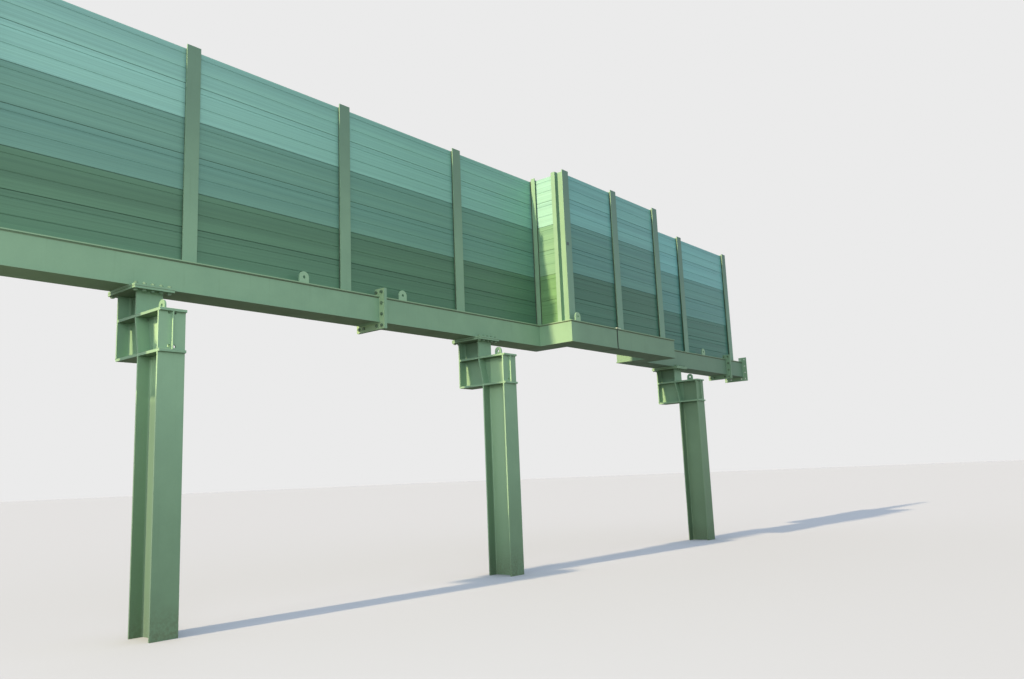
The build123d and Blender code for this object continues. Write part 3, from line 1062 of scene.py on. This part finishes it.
# A small blank plate with two screws, on the outer corner post
postPlate = {
    "width": 0.060,
    "height": 0.055,
    "thick": 0.004,
    "shift": -0.028,
    "level": 5.44,
    "rim": 0.003,
    "raised": 0.0008,
    "screwShift": 0.021,
    "screwRadius": 0.004,
    "screwCorners": 12,
    "screwHead": 0.003,
    "screwOut": 0.0018,
    "screwBevel": 0.001,
    "paint": tone(76, 96, 98),
    "worn": tone(92, 114, 112),
    "grain": (80.0, 3.0),
    "wornSpan": (0.3, 0.7),
    "specular": 0.3,
    "roughness": 0.42,
    "grainDull": 0.15,
    "depth": 0.0004,
    "smoothAngle": 30,
}


def platePaint():
    look = postPlate
    f = Finish("platePaint", look["specular"])
    fine = f.grain(*look["grain"])
    colour = f.tint(look["paint"], look["worn"], fine.ease(*look["wornSpan"]))
    return f.made(colour, look["roughness"] + fine * look["grainDull"], fine, look["depth"])


def makePostPlate():
    deselect()
    low = jogPostBoxes[0][0]
    thick = postPlate["thick"]
    centre = (cornerLeftX + postPlate["shift"], low.y - thick / 2, postPlate["level"])
    plate = block(centre, (postPlate["width"], thick, postPlate["height"]))
    editFaces(plate, faceFront)
    bpy.ops.mesh.inset(thickness=postPlate["rim"])
    bpy.ops.transform.translate(value=(0, -postPlate["raised"], 0))
    backToObject()
    parts = [plate]
    for side in (1, -1):
        spot = (centre[0] + side * postPlate["screwShift"], low.y - thick - postPlate["screwOut"], centre[2])
        bpy.ops.mesh.primitive_cylinder_add(
            vertices=postPlate["screwCorners"],
            radius=postPlate["screwRadius"],
            depth=postPlate["screwHead"],
            location=spot,
            rotation=(math.pi / 2, 0, 0),
        )
        screw = bpy.context.object
        bpy.ops.object.transform_apply(location=True, rotation=True)
        parts.append(softened(screw, faceFront, postPlate["screwBevel"], 2))
    finished(joined(parts, "post_plate"), platePaint(), postPlate["smoothAngle"])


# The run-off tab left on the girder's butt joint, which has lost most of its paint
jointTab = {
    "length": 0.130,
    "width": 0.040,
    "thick": 0.014,
    "shift": 0.035,
    "bevel": 0.003,
    "bare": tone(206, 214, 200),
    "bareGrain": (20.0, 2.0),
    "bareSpan": (0.2, 0.5),
    "bareAmount": 0.8,
    "smoothAngle": 30,
}


def bareTab(f):
    return f.grain(*jointTab["bareGrain"]).ease(*jointTab["bareSpan"])


def makeJointTab():
    deselect()
    size = (jointTab["length"], jointTab["width"], jointTab["thick"])
    centre = (jogJointX + jointTab["shift"], jogFront + size[1] / 2, girderTop + size[2] / 2)
    tab = softened(block(centre, size), faceUp, jointTab["bevel"], 2)
    paint = steelPaint("tabSteel", [(jointTab["bare"], bareTab, jointTab["bareAmount"])])
    finished(joined([tab], "joint_tab"), paint, jointTab["smoothAngle"])


makePostPlate()
makeJointTab()
print("small parts made")


# The stage: a plain pale floor and surround
stageLook = {
    "pale": (0.83, 0.83, 0.83, 1.0),
    "surround": (0.74, 0.80, 0.86, 1.0),
    "paleFloor": (0.49, 0.53, 0.60, 1.0),
    "dullFloor": (0.20, 0.20, 0.18, 1.0),
    "floorSize": 600.0,
    "floorSpecular": 0.1,
    "floorRoughness": 0.9,
}
# A low sun from the left, with a weak and softer one beside it, and a large area lamp near the camera
lamps = {
    "sun": {"power": 5.2, "tone": (1.0, 0.75, 0.45), "softness": 1.5, "heading": (0.87, -0.07, -0.47)},
    "side": {"power": 0.5, "tone": (1.0, 0.90, 0.75), "softness": 20.0, "heading": (0.95, 0.10, -0.30)},
}
softBox = {
    "power": 112.0,
    "tone": (0.94, 1.0, 1.0),
    "width": 5.0,
    "spread": 110.0,
    "place": (-10.5, -9.5, 5.5),
    "aim": (-3.0, 0.4, 4.9),
}


def paleRays(tree):
    # 1 for what the camera sees, straight, in gloss or through glass
    seen = tree.nodes.new("ShaderNodeLightPath")
    found = seen.outputs["Is Camera Ray"]
    for kind in ("Is Glossy Ray", "Is Transmission Ray"):
        either = tree.nodes.new("ShaderNodeMath")
        either.operation = "MAXIMUM"
        tree.links.new(found, either.inputs[0])
        tree.links.new(seen.outputs[kind], either.inputs[1])
        found = either.outputs[0]
    return found


def twoColours(tree, other, pale, target):
    mix = tree.nodes.new("ShaderNodeMix")
    mix.data_type = "RGBA"
    tree.links.new(paleRays(tree), mix.inputs[0])
    mix.inputs[6].default_value = other
    mix.inputs[7].default_value = pale
    tree.links.new(mix.outputs[2], target)


def aimed(direction):
    # A lamp shines against its own Z
    return Vector(direction).to_track_quat("-Z", "Y")


def hung(name, item):
    holder = bpy.data.objects.new(name, item)
    bpy.context.scene.collection.objects.link(holder)
    return holder


def makeFloor():
    deselect()
    bpy.ops.mesh.primitive_plane_add(size=stageLook["floorSize"], location=(0, 0, 0))
    floor = bpy.context.object
    floor.name = "floor"
    cover = Finish("floorCover", stageLook["floorSpecular"])
    cover.shader.inputs["Roughness"].default_value = stageLook["floorRoughness"]
    twoColours(cover.tree, stageLook["dullFloor"], stageLook["paleFloor"], cover.shader.inputs["Base Color"])
    floor.data.materials.append(cover.material)


def makeLamps():
    for name, look in lamps.items():
        lamp = bpy.data.lights.new(name, "SUN")
        lamp.energy = look["power"]
        lamp.color = look["tone"]
        lamp.angle = math.radians(look["softness"])
        holder = hung(name, lamp)
        holder.rotation_mode = "QUATERNION"
        holder.rotation_quaternion = aimed(look["heading"])
    box = bpy.data.lights.new("softBox", "AREA")
    box.energy = softBox["power"]
    box.color = softBox["tone"]
    box.size = softBox["width"]
    box.spread = math.radians(softBox["spread"])
    holder = hung("softBox", box)
    direction = Vector(softBox["aim"]) - Vector(softBox["place"])
    holder.matrix_world = Matrix.Translation(softBox["place"]) @ aimed(direction).to_matrix().to_4x4()
    holder.visible_camera = False


def makeSurround():
    world = bpy.data.worlds.new("surround")
    bpy.context.scene.world = world
    world.use_nodes = True
    background = world.node_tree.nodes["Background"]
    twoColours(world.node_tree, stageLook["surround"], stageLook["pale"], background.inputs["Color"])
    background.inputs["Strength"].default_value = 1.0


# The camera as fitted to the photo: lens and sensor in millimetres, place in metres, the rest in degrees
viewLook = {
    "lens": 29.19,
    "sensor": 36.0,
    "nearest": 0.1,
    "farthest": 1000.0,
    "place": (-9.852, -8.435, 1.463),
    "turn": 50.425,
    "tilt": 9.361,
    "roll": -2.360,
}


def makeCamera():
    camera = bpy.data.cameras.new("camera")
    camera.lens = viewLook["lens"]
    camera.sensor_width = viewLook["sensor"]
    camera.clip_start = viewLook["nearest"]
    camera.clip_end = viewLook["farthest"]
    holder = hung("camera", camera)
    turn = Matrix.Rotation(math.radians(-viewLook["turn"]), 4, "Z")
    tilt = Matrix.Rotation(math.radians(90 + viewLook["tilt"]), 4, "X")
    roll = Matrix.Rotation(math.radians(viewLook["roll"]), 4, "Z")
    holder.matrix_world = Matrix.Translation(viewLook["place"]) @ turn @ tilt @ roll
    bpy.context.scene.camera = holder


makeFloor()
makeLamps()
makeSurround()
makeCamera()
bpy.context.scene.view_settings.view_transform = "Standard"
print("stage made")
